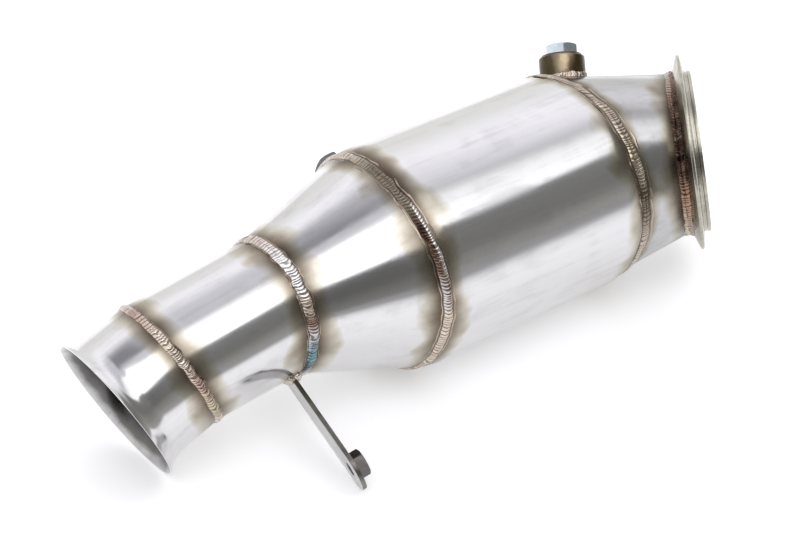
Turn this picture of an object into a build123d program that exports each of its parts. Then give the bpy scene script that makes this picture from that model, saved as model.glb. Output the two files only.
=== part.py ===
"""Turbo downpipe: flared outlet, pipe, reducer cone, converter can, skewed transition and clamp flange.

The part lies on a floor as it comes to rest. X runs along the can towards the turbo, Z is up,
and the origin is the centre of the inlet mouth, where the pipe meets the turbo housing.
"""
from build123d import *
import os
from math import cos, hypot, radians, sin, tan

# Sheet and tubes
sheet = 1.5
tube_diameter = 76.2
can_diameter = 127.0
can_outlet_draw = 2.3
can_inlet_draw = 3.2
can_draw_length = 13.0
inlet_tube_diameter = 92.5

# Lengths along the gas path, from seam to seam
flare_length = 36.8
pipe_length = 65.0
cone_length = 69.0
can_length = 143.5

# Directions, in degrees
pipe_pitch = 7.4
outlet_pitch = 22.8
inlet_pitch = 10.2
inlet_yaw = 38.5

# Inlet seam as seen from the can's inlet seam
inlet_forward = 55.6
inlet_sideways = 27.3
inlet_rise = 8.7

# Outlet flare, its rim standing out from the tube
flare_rim_height = 6.4
flare_splay = 42.0
flare_knee_radius = 6.0

# Clamp flange at the inlet: places from its seam, and heights above the inlet tube
flange_reach = 12.45
flange_neck_length = 2.4
flange_neck_height = 1.5
flange_tip_start = 5.6
flange_tip_width = 1.6
flange_tip_height = 10.25
flange_face_start = 8.4
flange_face_height = 2.75
lip_height = 0.4
lip_groove_start = 9.6
lip_groove_width = 0.9
lip_groove_depth = 0.5

# Weld beads
bead_width = 5.2
bead_sides = 16
flare_bead_height = 1.2
pipe_bead_height = 1.8
can_outlet_bead_height = 1.3
can_inlet_bead_height = 1.1
flange_bead_height = 1.2
boss_bead_height = 2.4
strip_bead_radius = 2.6

# Honeycomb core of the converter
core_length = 74.0
core_inset = 17.0
core_clearance = 0.1
core_rim = 1.6
cell_size = 9.6
cell_web = 0.9

# Sensor bosses with their plugs
boss_diameter = 26.5
boss_height = 12.3
boss_root = 4.0
boss_chamfer = 0.7
thread_diameter = 17.0
thread_clearance = 0.05
washer_diameter = 23.5
washer_bore_diameter = 18.2
washer_thickness = 1.0
plug_hex = 17.0
plug_head_height = 6.0
plug_head_chamfer = 1.2
front_boss_angle = 158.4
front_boss_setback = 16.0
front_plug_turn = -2.0
rear_boss_angle = 7.6
rear_boss_setback = 28.3
rear_plug_turn = 19.0

# Support strip with its nut
strip_width = 24.0
strip_thickness = 2.6
strip_length = 67.8
strip_tuck = 5.0
strip_yaw = 5.1
strip_drop = 15.5
strip_twist = 19.9
strip_root_setback = 3.0
strip_root_angle = 60.7
strip_hole_diameter = 7.5
strip_hole_setback = 0.8
nut_hex = 13.0
nut_height = 6.0
nut_chamfer = 1.0
nut_bore_diameter = 6.7
nut_turn = 0.0

# Derived radii
tube_radius = tube_diameter / 2
can_radius = can_diameter / 2
can_outlet_radius = can_radius - can_outlet_draw
can_inlet_radius = can_radius - can_inlet_draw
inlet_radius = inlet_tube_diameter / 2
boss_radius = boss_diameter / 2
thread_radius = thread_diameter / 2


def pitched(pitch, yaw=0.0):
    """Unit vector along X, turned towards -Y and pitched up."""
    flat = cos(radians(pitch))
    return Vector(flat * cos(radians(yaw)), -flat * sin(radians(yaw)), sin(radians(pitch)))


# Directions of the gas path, and the line about which the transition bends
can_direction = Vector(1, 0, 0)
upright = Vector(0, 1, 0)
pipe_direction = pitched(pipe_pitch)
outlet_direction = pitched(outlet_pitch)
inlet_direction = pitched(inlet_pitch, inlet_yaw)
hinge_line = can_direction.cross(inlet_direction).normalized()

# Stations, from the inlet mouth back to the outlet rim
inlet_mouth_centre = Vector(0, 0, 0)
inlet_seam_centre = inlet_mouth_centre - inlet_direction * flange_reach
can_inlet_centre = inlet_seam_centre - Vector(inlet_forward, -inlet_sideways, inlet_rise)
can_outlet_centre = can_inlet_centre - can_direction * can_length
cone_small_centre = can_outlet_centre - can_direction * cone_length
outlet_seam_centre = cone_small_centre - pipe_direction * pipe_length
outlet_rim_centre = outlet_seam_centre - outlet_direction * flare_length

inlet_seam = Plane(origin=inlet_seam_centre, x_dir=hinge_line, z_dir=inlet_direction)
can_inlet = Plane(origin=can_inlet_centre, x_dir=hinge_line, z_dir=can_direction)
can_outlet = Plane(origin=can_outlet_centre, x_dir=can_direction.cross(upright), z_dir=can_direction)
cone_small = Plane(origin=cone_small_centre, x_dir=can_direction.cross(upright), z_dir=can_direction)
outlet_seam = Plane(
    origin=outlet_seam_centre, x_dir=outlet_direction.cross(upright), z_dir=outlet_direction
)


def turning_plane(centre, direction):
    """Plane for a profile to be turned: X lies along the direction and Y is the radius."""
    return Plane(origin=centre, x_dir=direction, z_dir=direction.cross(upright))


def ruled_body(start, start_radius, end, end_radius):
    """Solid with straight sides between two round sections, which need not be parallel."""
    with BuildPart() as body:
        with BuildSketch(start):
            Circle(start_radius)
        with BuildSketch(end):
            Circle(end_radius)
        loft(ruled=True)
    return body.part


def flare_body(inset):
    """Outlet stub with its splayed rim, turned to the outer line or to a line inset from it."""
    splay = radians(flare_splay)
    rim = tube_radius + flare_rim_height - inset / cos(splay)
    bore = tube_radius - inset
    knee = (rim - bore) / tan(splay)
    outline = [(0, 0), (0, rim), (knee, bore), (flare_length, bore), (flare_length, 0)]
    with BuildPart() as body:
        with BuildSketch(turning_plane(outlet_rim_centre, outlet_direction)) as profile:
            with BuildLine():
                Polyline(outline, close=True)
            make_face()
            fillet(profile.vertices().sort_by_distance((knee, bore))[0], flare_knee_radius + inset)
        revolve(axis=Axis(outlet_rim_centre, outlet_direction))
    return body.part


def can_body(inset):
    """Can with both ends drawn in, turned to the outer line or to a line inset from it."""
    full = can_radius - inset
    with BuildPart() as body:
        with BuildSketch(turning_plane(can_outlet_centre, can_direction)):
            with BuildLine():
                foot = Line((0, 0), (0, can_outlet_radius - inset))
                drawn = TangentArc((can_draw_length, full), foot @ 1, tangent=(-1, 0))
                barrel = Line(drawn @ 0, (can_length - can_draw_length, full))
                crown = TangentArc(barrel @ 1, (can_length, can_inlet_radius - inset), tangent=(1, 0))
                Polyline(crown @ 1, (can_length, 0), foot @ 0)
            make_face()
        revolve(axis=Axis(can_outlet_centre, can_direction))
    return body.part


# Filled forms of the walls to their outer faces and to their bores
flare_outer = flare_body(0.0)
flare_bore = flare_body(sheet)
pipe_outer = ruled_body(outlet_seam, tube_radius, cone_small, tube_radius)
pipe_bore = ruled_body(outlet_seam, tube_radius - sheet, cone_small, tube_radius - sheet)
cone_outer = ruled_body(cone_small, tube_radius, can_outlet, can_outlet_radius)
cone_bore = ruled_body(cone_small, tube_radius - sheet, can_outlet, can_outlet_radius - sheet)
can_outer = can_body(0.0)
can_bore = can_body(sheet)
transition_outer = ruled_body(can_inlet, can_inlet_radius, inlet_seam, inlet_radius)
transition_bore = ruled_body(can_inlet, can_inlet_radius - sheet, inlet_seam, inlet_radius - sheet)
neck_outer = ruled_body(inlet_seam, inlet_radius, inlet_seam.offset(bead_width), inlet_radius)


def transition_wall_plane(angle, setback):
    """Plane on the transition's outer face at an angle from the hinge line, its Z outward."""
    spoke = Vector(cos(radians(angle)), sin(radians(angle)))
    spin = Vector(-sin(radians(angle)), cos(radians(angle)))
    near = can_inlet.from_local_coords(spoke * can_inlet_radius)
    far = inlet_seam.from_local_coords(spoke * inlet_radius)
    along = (far - near).normalized()
    around = can_inlet.from_local_coords(spin) - can_inlet.origin
    return Plane(origin=near + along * setback, x_dir=along, z_dir=around.cross(along))


# The bosses stand square on the transition's wall and on the can's far side
rear_spoke = Vector(0, cos(radians(rear_boss_angle)), sin(radians(rear_boss_angle)))
rear_boss_foot = can_outlet_centre + can_direction * rear_boss_setback + rear_spoke * can_radius
rear_boss_plane = Plane(origin=rear_boss_foot, x_dir=can_direction, z_dir=rear_spoke)
front_boss_plane = transition_wall_plane(front_boss_angle, front_boss_setback)


def boss_bar(plane, radius):
    """Round bar along a boss, from under the wall up to the boss's top."""
    with BuildPart() as bar:
        with BuildSketch(plane.offset(-boss_root)):
            Circle(radius)
        extrude(amount=boss_root + boss_height)
    return bar.part


def walled(outer, *cuts):
    """Wall left when its bore and its holes are taken from its filled form."""
    with BuildPart() as wall:
        add(outer)
        add(list(cuts), mode=Mode.SUBTRACT)
    return wall


# Walls of the gas path, bored through under the two bosses
outlet_flare = walled(flare_outer, flare_bore)
outlet_pipe = walled(pipe_outer, pipe_bore)
reducer_cone = walled(cone_outer, cone_bore)
converter_can = walled(can_outer, can_bore, boss_bar(rear_boss_plane, thread_radius))
inlet_transition = walled(transition_outer, transition_bore, boss_bar(front_boss_plane, thread_radius))

# Clamp flange: neck, tapered rim and grooved locating lip, turned about the inlet's axis
inlet_bore_radius = inlet_radius - sheet
flange_tip_radius = inlet_radius + flange_tip_height
lip_radius = inlet_radius + lip_height
lip_groove_end = lip_groove_start + lip_groove_width
with BuildPart() as inlet_flange:
    with BuildSketch(turning_plane(inlet_seam_centre, inlet_direction)):
        with BuildLine():
            Polyline(
                (0, inlet_bore_radius),
                (0, inlet_radius),
                (flange_neck_length, inlet_radius + flange_neck_height),
                (flange_tip_start, flange_tip_radius),
                (flange_tip_start + flange_tip_width, flange_tip_radius),
                (flange_face_start, inlet_radius + flange_face_height),
                (flange_face_start, lip_radius),
                (lip_groove_start, lip_radius),
                (lip_groove_start, lip_radius - lip_groove_depth),
                (lip_groove_end, lip_radius - lip_groove_depth),
                (lip_groove_end, lip_radius),
                (flange_reach, lip_radius),
                (flange_reach, inlet_bore_radius),
                close=True,
            )
        make_face()
    revolve(axis=Axis(inlet_seam_centre, inlet_direction))

# Honeycomb core: hexagonal channels, in staggered rows, through a round block that fills the can
core_radius = can_radius - sheet - core_clearance
cell_pitch = cell_size + cell_web
cell_limit = core_radius - core_rim - cell_size / 2 / cos(radians(30))
cell_rows = int(core_radius / cell_pitch) + 2
cell_spots = [
    (cell_pitch * (column + row / 2), cell_pitch * cos(radians(30)) * row)
    for row in range(-cell_rows, cell_rows + 1)
    for column in range(-2 * cell_rows, 2 * cell_rows + 1)
]
with BuildPart() as catalyst_core:
    with BuildSketch(can_inlet.offset(-core_inset - core_length)):
        Circle(core_radius)
        with Locations([spot for spot in cell_spots if hypot(*spot) < cell_limit]):
            RegularPolygon(cell_size / 2, 6, major_radius=False, rotation=30, mode=Mode.SUBTRACT)
    extrude(amount=core_length)


def seam_weld(centre, direction, radius, height, *neighbours):
    """Weld bead round a seam: the crown of a many-sided section, left outside the walls it joins."""
    section_radius = ((bead_width / 2) ** 2 + height**2) / (2 * height)
    with BuildPart() as bead:
        with BuildSketch(turning_plane(centre, direction)):
            with Locations((0, radius + height - section_radius)):
                RegularPolygon(section_radius, bead_sides, rotation=180 / bead_sides)
        revolve(axis=Axis(centre, direction))
        add(list(neighbours), mode=Mode.SUBTRACT)
    return bead


weld_flare_pipe = seam_weld(
    outlet_seam_centre, outlet_direction, tube_radius, flare_bead_height, flare_outer, pipe_outer
)
weld_pipe_cone = seam_weld(
    cone_small_centre, can_direction, tube_radius, pipe_bead_height, pipe_outer, cone_outer
)
weld_cone_can = seam_weld(
    can_outlet_centre, can_direction, can_outlet_radius, can_outlet_bead_height, cone_outer, can_outer
)
weld_can_transition = seam_weld(
    can_inlet_centre, can_direction, can_inlet_radius, can_inlet_bead_height, can_outer, transition_outer
)
weld_transition_flange = seam_weld(
    inlet_seam_centre,
    inlet_direction,
    inlet_radius,
    flange_bead_height,
    transition_outer,
    neck_outer,
    inlet_flange.part,
)


def sensor_boss(plane, *walls):
    """Boss for a sensor: round bar, chamfered on top, saddled to the walls and bored through."""
    outer = boss_bar(plane, boss_radius)
    bore = boss_bar(plane, thread_radius)
    with BuildPart() as boss:
        add(outer)
        rim = boss.edges().filter_by(GeomType.CIRCLE).sort_by(Axis(plane.origin, plane.z_dir))[-1]
        chamfer(rim, boss_chamfer)
        add([*walls, bore], mode=Mode.SUBTRACT)
    return boss


def side_plane(plane):
    """Plane that stands on another: X is its radius and Y its normal."""
    return Plane(origin=plane.origin, x_dir=plane.x_dir, z_dir=-plane.y_dir)


def boss_weld(plane, *walls):
    """Fillet weld round a boss: a skirt at forty-five degrees, cut off where it meets the wall."""
    skirt = boss_bead_height + boss_root
    with BuildPart() as bead:
        with BuildSketch(side_plane(plane)):
            with BuildLine():
                Polyline(
                    (boss_radius, boss_bead_height),
                    (boss_radius + skirt, -boss_root),
                    (boss_radius, -boss_root),
                    close=True,
                )
            make_face()
        revolve(axis=Axis(plane.origin, plane.z_dir))
        add(list(walls), mode=Mode.SUBTRACT)
    return bead


def sealing_washer(plane):
    """Flat washer between a boss and its plug."""
    with BuildPart() as washer:
        with BuildSketch(plane.offset(boss_height)):
            Circle(washer_diameter / 2)
            Circle(washer_bore_diameter / 2, mode=Mode.SUBTRACT)
        extrude(amount=washer_thickness)
    return washer


def hexagon_block(plane, across_flats, height, edge, turn):
    """Hexagonal block on a plane, the corners of its far face turned off at thirty degrees."""
    corner = across_flats / 2 / cos(radians(30))
    drop = edge * tan(radians(30))
    with BuildPart() as block:
        with BuildSketch(plane):
            RegularPolygon(across_flats / 2, 6, major_radius=False, rotation=turn)
        extrude(amount=height)
        with BuildSketch(side_plane(plane)):
            with BuildLine():
                Polyline(
                    (0, 0),
                    (corner + edge, 0),
                    (corner + edge, height - 2 * drop),
                    (corner - edge, height),
                    (0, height),
                    close=True,
                )
            make_face()
        revolve(axis=Axis(plane.origin, plane.z_dir), mode=Mode.INTERSECT)
    return block.part


def sensor_plug(plane, turn):
    """Plug that closes a boss: hexagonal head on the washer, and a shank in the thread."""
    seat = plane.offset(boss_height + washer_thickness)
    head = hexagon_block(seat, plug_hex, plug_head_height, plug_head_chamfer, turn)
    with BuildPart() as plug:
        add(head)
        with BuildSketch(seat):
            Circle(thread_radius - thread_clearance)
        extrude(amount=-washer_thickness - boss_height)
    return plug


front_walls = (transition_outer, can_outer, weld_can_transition.part)
front_boss = sensor_boss(front_boss_plane, *front_walls)
front_boss_weld = boss_weld(front_boss_plane, *front_walls)
front_washer = sealing_washer(front_boss_plane)
front_plug = sensor_plug(front_boss_plane, front_plug_turn)
rear_boss = sensor_boss(rear_boss_plane, can_outer)
rear_boss_weld = boss_weld(rear_boss_plane, can_outer)
rear_washer = sealing_washer(rear_boss_plane)
rear_plug = sensor_plug(rear_boss_plane, rear_plug_turn)

# Support strip: flat bar with a round end, twisted on its run and welded beside the cone's seam
strip_flat = cos(radians(strip_drop))
strip_direction = Vector(
    -strip_flat * sin(radians(strip_yaw)), -strip_flat * cos(radians(strip_yaw)), -sin(radians(strip_drop))
)
strip_level = (can_direction - strip_direction * can_direction.dot(strip_direction)).normalized()
strip_normal = strip_level.rotate(Axis((0, 0, 0), strip_direction), strip_twist)
strip_spoke = Vector(0, -cos(radians(strip_root_angle)), -sin(radians(strip_root_angle)))
strip_root = cone_small_centre - can_direction * strip_root_setback + strip_spoke * tube_radius
strip_plane = Plane(origin=strip_root, x_dir=strip_direction, z_dir=strip_normal)

with BuildPart() as support_strip:
    with BuildSketch(strip_plane.offset(-strip_thickness / 2)):
        with Locations(((strip_length - strip_tuck) / 2, 0)):
            Rectangle(strip_length + strip_tuck, strip_width)
        with Locations((strip_length, 0)):
            Circle(strip_width / 2)
        with Locations((strip_length - strip_hole_setback, 0)):
            Circle(strip_hole_diameter / 2, mode=Mode.SUBTRACT)
    extrude(amount=strip_thickness)
    add([pipe_outer, cone_outer, weld_pipe_cone.part], mode=Mode.SUBTRACT)

# Weld of the strip: beads along the edges that its end makes with the pipe and its seam
strip_end = support_strip.faces().filter_by(GeomType.PLANE, reverse=True).sort_by_distance(strip_root)[:2]
strip_edges = strip_end.edges().filter_by(lambda edge: edge.length > 2 * strip_thickness)
with BuildPart() as strip_weld:
    for edge in strip_edges:
        with BuildSketch(Plane(origin=edge @ 0, z_dir=edge % 0)):
            Circle(strip_bead_radius)
        sweep(path=edge)
        with Locations(edge @ 0, edge @ 1):
            Sphere(strip_bead_radius)
    add([support_strip.part, pipe_outer, cone_outer, weld_pipe_cone.part], mode=Mode.SUBTRACT)

# Nut fixed over the hole, on the strip's face towards the can
nut_seat = Plane(
    origin=strip_root + strip_direction * (strip_length - strip_hole_setback),
    x_dir=strip_direction,
    z_dir=strip_normal,
).offset(strip_thickness / 2)
nut_block = hexagon_block(nut_seat, nut_hex, nut_height, nut_chamfer, nut_turn)
with BuildPart() as strip_nut:
    add(nut_block)
    with BuildSketch(nut_seat):
        Circle(nut_bore_diameter / 2)
    extrude(amount=nut_height, mode=Mode.SUBTRACT)

pieces = {
    "outlet_flare": outlet_flare,
    "outlet_pipe": outlet_pipe,
    "reducer_cone": reducer_cone,
    "converter_can": converter_can,
    "catalyst_core": catalyst_core,
    "inlet_transition": inlet_transition,
    "inlet_flange": inlet_flange,
    "weld_flare_pipe": weld_flare_pipe,
    "weld_pipe_cone": weld_pipe_cone,
    "weld_cone_can": weld_cone_can,
    "weld_can_transition": weld_can_transition,
    "weld_transition_flange": weld_transition_flange,
    "front_boss": front_boss,
    "front_boss_weld": front_boss_weld,
    "front_washer": front_washer,
    "front_plug": front_plug,
    "rear_boss": rear_boss,
    "rear_boss_weld": rear_boss_weld,
    "rear_washer": rear_washer,
    "rear_plug": rear_plug,
    "support_strip": support_strip,
    "strip_weld": strip_weld,
    "strip_nut": strip_nut,
}
os.makedirs("parts", exist_ok=True)
for name, piece in pieces.items():
    piece.part.label = name
    export_step(piece.part, f"parts/{name}.step")
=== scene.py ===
"""Dressed model of a turbo downpipe: sheet walls, welds, sensor bosses, clamp flange and support strip."""

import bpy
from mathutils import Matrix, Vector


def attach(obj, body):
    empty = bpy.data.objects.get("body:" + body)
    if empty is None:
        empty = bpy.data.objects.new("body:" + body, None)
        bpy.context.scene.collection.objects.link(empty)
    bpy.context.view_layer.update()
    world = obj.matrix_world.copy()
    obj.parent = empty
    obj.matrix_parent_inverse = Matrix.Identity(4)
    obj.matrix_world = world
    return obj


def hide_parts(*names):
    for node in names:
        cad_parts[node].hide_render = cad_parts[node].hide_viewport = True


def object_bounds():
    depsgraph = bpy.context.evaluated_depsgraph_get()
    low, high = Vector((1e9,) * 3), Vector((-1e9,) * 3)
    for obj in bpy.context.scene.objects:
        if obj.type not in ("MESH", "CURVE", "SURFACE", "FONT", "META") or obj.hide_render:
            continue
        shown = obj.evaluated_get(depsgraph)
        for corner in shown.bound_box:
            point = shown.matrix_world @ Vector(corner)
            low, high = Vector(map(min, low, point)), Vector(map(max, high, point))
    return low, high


bl_info = {
    "name": "Turbo downpipe",
    "version": (1, 0, 0),
    "blender": (4, 5, 0),
    "location": "3D View > Sidebar > Downpipe",
    "description": "Dresses the packed downpipe with smooth walls, rippled welds and heat tint",
    "category": "Object",
}

from math import atan2, cos, exp, floor, hypot, pi, radians, sin, sqrt, tan, tau

import bmesh
import bpy
from mathutils import Matrix, Vector, noise
from mathutils.bvhtree import BVHTree

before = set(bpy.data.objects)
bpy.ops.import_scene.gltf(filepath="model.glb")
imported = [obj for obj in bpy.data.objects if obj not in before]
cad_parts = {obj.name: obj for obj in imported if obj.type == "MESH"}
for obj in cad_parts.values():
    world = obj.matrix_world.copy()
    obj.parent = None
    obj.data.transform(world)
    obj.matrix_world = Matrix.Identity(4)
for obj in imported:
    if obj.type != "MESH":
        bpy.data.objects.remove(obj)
cad_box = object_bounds()

# Side of every round piece where its seam of faces and its pattern's wrap are put: down and to the back
HIDDEN_SIDE = Vector((0.0, 0.753, -0.658))
ACROSS = Vector((0.0, 1.0, 0.0))
UPWARD = Vector((0.0, 0.0, 1.0))
CAMERA_SIDE = (0.208, -0.978, 0.0)
WHITE = (1.0, 1.0, 1.0)

# Sections round the walls and the small parts, and sections and rows of the beads and of the fillets
TUBE_STEPS, CAN_STEPS, SMALL_STEPS = 240, 288, 144
BEAD_STEPS, BEAD_ROWS = 960, 24
FILLET_STEPS, FILLET_ROWS = 540, 10

# Rays that find the walls under a weld: how far outside they start, and how far they look
RAY_START, RAY_LENGTH = 0.02, 0.05

# Heights on and beside a bead: its edges sunk into the wall, its washed ridges, and how far it wanders
BEAD_SUNK, RIDGE_HEIGHT, WANDER = 0.00012, 0.0006, 0.0004

# Reach of the temper colours beside each seam, and the stops of the ramps that aren't round a seam
STUB_TINT, PIPE_TINTS, CONE_TINTS = 0.0105, (0.011, 0.013), (0.012, 0.011)
CAN_TINTS, TRANSITION_TINTS = (0.012, 0.0145), (0.0075, 0.0095)
TEMPER = (
    (0.0, (0.16, 0.125, 0.09)),
    (0.14, (0.25, 0.205, 0.15)),
    (0.34, (0.43, 0.375, 0.295)),
    (0.55, (0.63, 0.58, 0.48)),
    (0.78, (0.85, 0.82, 0.73)),
    (1.0, WHITE),
)
# Painted shade inside the bore: the sheet darkens with its depth behind the rim
BORE_PAINTED_SHADE = (
    (0.03, WHITE),
    (0.14, (0.8, 0.8, 0.79)),
    (0.3, (0.24, 0.235, 0.23)),
    (0.6, (0.08, 0.078, 0.075)),
)
# Painted light on a boss: a bright highlight band past its middle and painted shade on both sides, by how
# each point faces this direction
BOSS_LIT_SIDE = (0.79, -0.613, 0.0)
BOSS_PAINTED_LIGHT = (
    (0.0, (0.18, 0.17, 0.14)),
    (0.34, (0.26, 0.24, 0.2)),
    (0.5, (1.15, 1.12, 1.05)),
    (0.6, (1.2, 1.16, 1.08)),
    (0.7, (0.5, 0.42, 0.34)),
    (0.86, (0.4, 0.33, 0.27)),
    (1.0, (0.2, 0.17, 0.14)),
)


def screen(red, green, blue):
    """Colour as it looks on a screen, from 0 to 255, made linear."""
    shares = (red / 255, green / 255, blue / 255)
    return tuple(((c + 0.055) / 1.055) ** 2.4 if c > 10 / 255 else c / 12.92 for c in shares)


# Tones of the welds
TONES = {
    "pink": screen(202, 174, 164),
    "beige": screen(216, 204, 188),
    "silver": screen(208, 206, 206),
    "white": screen(240, 238, 234),
    "rose": screen(218, 206, 200),
    "olive": screen(120, 114, 100),
    "soot": screen(44, 34, 30),
    "brown": screen(132, 108, 92),
    "teal": screen(118, 152, 160),
    "slate": screen(80, 94, 102),
    "straw": screen(196, 188, 160),
    "dusk": screen(186, 174, 158),
    "ember": screen(156, 124, 102),
    "foot": screen(184, 164, 150),
    "foot_light": screen(212, 200, 188),
    "strip": screen(206, 198, 190),
}

# The five seams: node, station, its sizes' name, walls under it, seed, the rope's share of the width,
# strength of the washed ridges, sway (how far, and from where), lean towards the can, and tones round
# the seam from its hidden side, the last of them for its other half where that differs
SEAMS = (
    (
        "weld_flare_pipe", "outlet", "flare", ("flare_wall", "pipe_wall"),
        3.0, 0.7, (0.25, 0.8), (0.0, 0.0), 0.0,
        "0 beige 0.28 rose 0.33 pink 0.42 beige 0.5 beige 0.56 pink 0.63 straw 0.7 beige 1 beige",
    ),
    (
        "weld_pipe_cone", "cone_small", "pipe", ("pipe_wall", "cone_wall"),
        11.0, 0.7, (1.0, 0.5), (0.0003, 0.42), 0.0,
        "0 silver 0.27 rose 0.34 rose 0.39 white 0.48 white 0.52 beige 0.57 brown 0.6 silver "
        "0.63 teal 0.67 teal 0.69 slate 0.715 silver 1 silver",
    ),
    (
        "weld_cone_can", "can_outlet", "can_outlet", ("cone_wall", "can_wall"),
        19.0, 0.58, (0.7, 0.9), (0.001, 0.487), 0.0,
        "0 silver 0.3 beige 0.36 olive 0.44 olive 0.48 soot 0.54 brown 0.58 silver 0.62 beige "
        "0.75 beige 1 silver",
        "0 silver 0.3 beige 0.36 olive 0.44 olive 0.46 white 0.53 white 0.57 brown 0.62 beige "
        "0.75 beige 1 silver",
    ),
    (
        "weld_can_transition", "can_inlet", "can_inlet", ("can_wall", "transition_wall"),
        27.0, 0.56, (1.0, 0.8), (0.0, 0.0), -0.0042,
        "0 silver 0.3 beige 0.36 dusk 0.46 dusk 0.5 straw 0.53 beige 0.56 olive 0.6 olive "
        "0.64 dusk 0.72 beige 1 silver",
    ),
    (
        "weld_transition_flange", "inlet", "flange", ("transition_wall", "flange_ring"),
        41.0, 0.95, (0.0, 0.0), (0.0, 0.0), 0.0,
        "0 brown 0.3 silver 0.36 dusk 0.42 brown 0.46 soot 0.56 soot 0.59 brown 0.62 ember "
        "0.74 beige 0.85 brown 1 brown",
        # The half next to the flange is darker: painted shade where the bead meets the flange
        "0 brown 0.3 brown 0.36 brown 0.42 soot 0.46 soot 0.56 soot 0.59 brown 0.62 ember "
        "0.74 dusk 0.85 brown 1 brown",
    ),
)


def length(label, size, note):
    """Property for a length in metres."""
    return bpy.props.FloatProperty(name=label, description=note, default=size, unit="LENGTH", precision=5)


def turn(label, degrees, note):
    """Property for an angle, given here in degrees."""
    return bpy.props.FloatProperty(name=label, description=note, default=radians(degrees), subtype="ANGLE")


def paint(label, red, green, blue, note):
    """Property for a colour, given as it looks on a screen from 0 to 255."""
    linear = screen(red, green, blue)
    return bpy.props.FloatVectorProperty(
        name=label, description=note, default=linear, size=3, min=0.0, max=1.0, subtype="COLOR"
    )


class DOWNPIPE_PG_path(bpy.types.PropertyGroup):
    """Sizes of the gas path, from the outlet rim to the inlet mouth."""

    sheet: length("Sheet", 0.0015, "Thickness of the walls")
    tube_diameter: length("Tube", 0.0762, "Outside diameter of the outlet tube")
    can_diameter: length("Can", 0.127, "Outside diameter of the can's barrel")
    can_outlet_diameter: length("Can outlet end", 0.1224, "Outside diameter at the seam with the cone")
    can_inlet_diameter: length("Can inlet end", 0.1206, "Outside diameter at the seam with the transition")
    can_draw: length("Draw", 0.013, "Length over which each end of the can is drawn in")
    inlet_diameter: length("Inlet tube", 0.0925, "Outside diameter at the seam with the flange")
    flare_length: length("Flare length", 0.0368, "Outlet stub from its rim to its seam")
    pipe_length: length("Pipe length", 0.065, "Pipe between the stub and the cone")
    cone_length: length("Cone length", 0.069, "Reducer cone")
    can_length: length("Can length", 0.1435, "Can from seam to seam")
    pipe_pitch: turn("Pipe pitch", 7.4, "Rise of the pipe towards the cone")
    outlet_pitch: turn("Outlet pitch", 22.8, "Rise of the outlet stub towards the pipe")
    inlet_pitch: turn("Inlet pitch", 10.2, "Rise of the inlet's axis")
    inlet_yaw: turn("Inlet yaw", 38.5, "Sideways turn of the inlet's axis")
    inlet_forward: length("Inlet forward", 0.0556, "Inlet seam ahead of the can's seam")
    inlet_sideways: length("Inlet sideways", 0.0273, "Inlet seam to the side of the can's axis")
    inlet_rise: length("Inlet rise", 0.0087, "Inlet seam above the can's axis")
    flare_rim_diameter: length("Flare rim", 0.089, "Outside diameter of the splayed rim")
    flare_splay: turn("Flare splay", 42.0, "Angle of the rim to the stub's axis")
    flare_knee: length("Flare knee", 0.015, "Outside radius of the bend behind the rim")


class DOWNPIPE_PG_flange(bpy.types.PropertyGroup):
    """Sizes of the clamp flange and its locating lip."""

    diameter: length("Diameter", 0.113, "Outside diameter of the tapered rim")
    reach: length("Reach", 0.01245, "From the seam to the mouth")
    neck_length: length("Neck length", 0.0024, "Neck beside the weld")
    neck_diameter: length("Neck", 0.0955, "Diameter where the taper starts")
    tip_start: length("Tip start", 0.0056, "From the seam to the rim's land")
    tip_width: length("Tip width", 0.0016, "Width of the rim's land")
    face_diameter: length("Face", 0.098, "Diameter of the flat sealing face")
    face_start: length("Face start", 0.0084, "From the seam to the sealing face")
    lip_diameter: length("Lip", 0.0933, "Diameter of the locating lip")
    groove_start: length("Groove start", 0.0096, "From the seam to the lip's groove")
    groove_width: length("Groove width", 0.0009, "Width of the lip's groove")
    groove_depth: length("Groove depth", 0.0005, "Depth of the lip's groove")


class DOWNPIPE_PG_welds(bpy.types.PropertyGroup):
    """Sizes of the weld beads."""

    flare_width: length("Stub bead width", 0.007, "Width of the bead between stub and pipe")
    pipe_width: length("Pipe bead width", 0.0088, "Width of the bead between pipe and cone")
    can_outlet_width: length("Can outlet bead width", 0.0088, "Width of the bead between cone and can")
    can_inlet_width: length("Can inlet bead width", 0.0122, "Width of the bead between can and transition")
    flange_width: length("Flange bead width", 0.0054, "Width of the bead between transition and flange")
    flare_height: length("Stub bead", 0.0012, "Height of the bead between stub and pipe")
    pipe_height: length("Pipe bead", 0.0018, "Height of the bead between pipe and cone")
    can_outlet_height: length("Can outlet bead", 0.0013, "Height of the bead between cone and can")
    can_inlet_height: length("Can inlet bead", 0.0014, "Height of the bead between can and transition")
    flange_height: length("Flange bead", 0.0012, "Height of the bead between transition and flange")
    boss_height: length("Boss bead", 0.0042, "Height of the fillet at a boss's foot")
    boss_reach: length("Boss bead reach", 0.0007, "Reach of the fillet round a boss's foot")
    strip_radius: length("Strip bead", 0.0032, "Radius of the beads at the strip's root")
    ripple_pitch: length("Ripple pitch", 0.0019, "Distance from one ripple to the next")
    ripple_depth: length("Ripple depth", 0.0005, "Depth of the grooves between ripples")


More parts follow.
